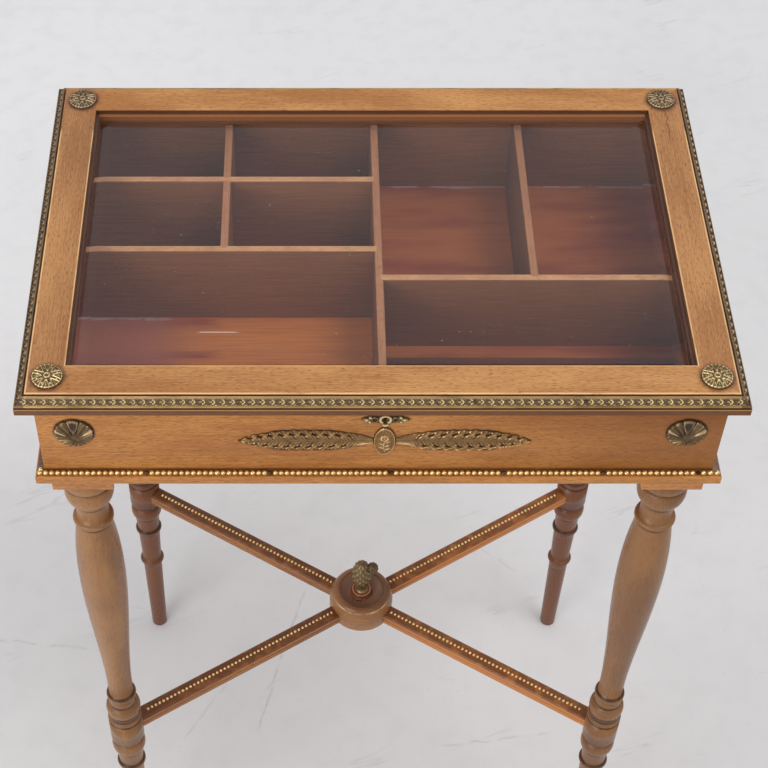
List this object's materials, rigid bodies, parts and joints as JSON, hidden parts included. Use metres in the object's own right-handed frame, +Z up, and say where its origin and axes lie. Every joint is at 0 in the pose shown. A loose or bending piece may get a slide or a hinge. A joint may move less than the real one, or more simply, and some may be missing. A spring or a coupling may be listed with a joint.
{
  "type": "collectors display table",
  "caption": "Display table: hinged glazed lid over a shallow compartmented case, turned legs and a crossed stretcher with a finial; wood with brass mounts.",
  "frame": {"origin": "on the floor, under the middle of the lid", "axes": "+Z up, +X along the width to the right as seen from the front, the front with the keyhole faces -Y"},
  "size_m": [0.522, 0.348, 0.7641],
  "materials": {
    "lid_wood": "polished, golden brown with fine dark grain",
    "case_wood": "polished, golden brown",
    "floor_wood": "streaky red-brown, waxed",
    "divider_wood": "satin brown",
    "glazing_wood": "dark brown",
    "leg_wood": "polished brown",
    "stretcher_wood": "polished red-brown",
    "plate_glass": "clear with a ground margin",
    "band_brass": "dark patina, relief worn bright",
    "bead_brass": "warm gold, slightly tarnished",
    "mount_brass": "antique, dark in the recesses",
    "hinge_brass": "satin",
    "lock_steel": "dull",
    "stud_steel": "plain"
  },
  "bodies": {
    "case": {"base_bead_strips": "bead_brass", "base_moulding_back": "case_wood", "base_moulding_front": "case_wood", "base_moulding_left": "case_wood", "base_moulding_right": "case_wood", "case_back_panel": "case_wood", "case_floor": "floor_wood", "case_front_panel": "case_wood", "case_left_panel": "case_wood", "case_right_panel": "case_wood", "case_screws": "hinge_brass", "centre_medallion": "mount_brass", "divider_centre": "divider_wood", "divider_left_cross": "divider_wood", "divider_left_middle": "divider_wood", "divider_left_rear": "divider_wood", "divider_right_cross": "divider_wood", "divider_right_middle": "divider_wood", "finial": "mount_brass", "finial_stud": "stud_steel", "hinge_lower_leaves": "hinge_brass", "hinge_pins": "hinge_brass", "keyhole_escutcheon": "mount_brass", "laurel_spray_left": "mount_brass", "laurel_spray_right": "mount_brass", "leg_back_left": "leg_wood", "leg_back_right": "leg_wood", "leg_front_left": "leg_wood", "leg_front_right": "leg_wood", "leg_pad_back_left": "leg_wood", "leg_pad_back_right": "leg_wood", "leg_pad_front_left": "leg_wood", "leg_pad_front_right": "leg_wood", "lock_case": "lock_steel", "shell_mount_left": "mount_brass", "shell_mount_right": "mount_brass", "stretcher_arm_back_left": "stretcher_wood", "stretcher_arm_back_right": "stretcher_wood", "stretcher_arm_front_left": "stretcher_wood", "stretcher_arm_front_right": "stretcher_wood", "stretcher_bead_strips": "bead_brass", "stretcher_hub": "stretcher_wood"},
    "lid": {"glazing_beads": "glazing_wood", "hinge_upper_leaves": "hinge_brass", "lid_back_rail": "lid_wood", "lid_band_back": "band_brass", "lid_band_front": "band_brass", "lid_band_left": "band_brass", "lid_band_right": "band_brass", "lid_front_rail": "lid_wood", "lid_glass": "plate_glass", "lid_left_stile": "lid_wood", "lid_right_stile": "lid_wood", "lid_screws": "hinge_brass", "rosette_back_left": "mount_brass", "rosette_back_right": "mount_brass", "rosette_front_left": "mount_brass", "rosette_front_right": "mount_brass", "strike_plate": "hinge_brass"},
    "bolt": {"lock_bolt": "lock_steel"}
  },
  "joints": [
    {"name": "lid_hinge", "type": "hinge", "parent": "case", "child": "lid", "pos_m": [0, 0.16405, 0.7446], "axis": [-1, 0, 0], "range_deg": [0, 105]},
    {"name": "bolt_slide", "type": "slide", "parent": "case", "child": "bolt", "axis": [0, 0, 1], "range_m": [0, 0.006]}
  ]
}
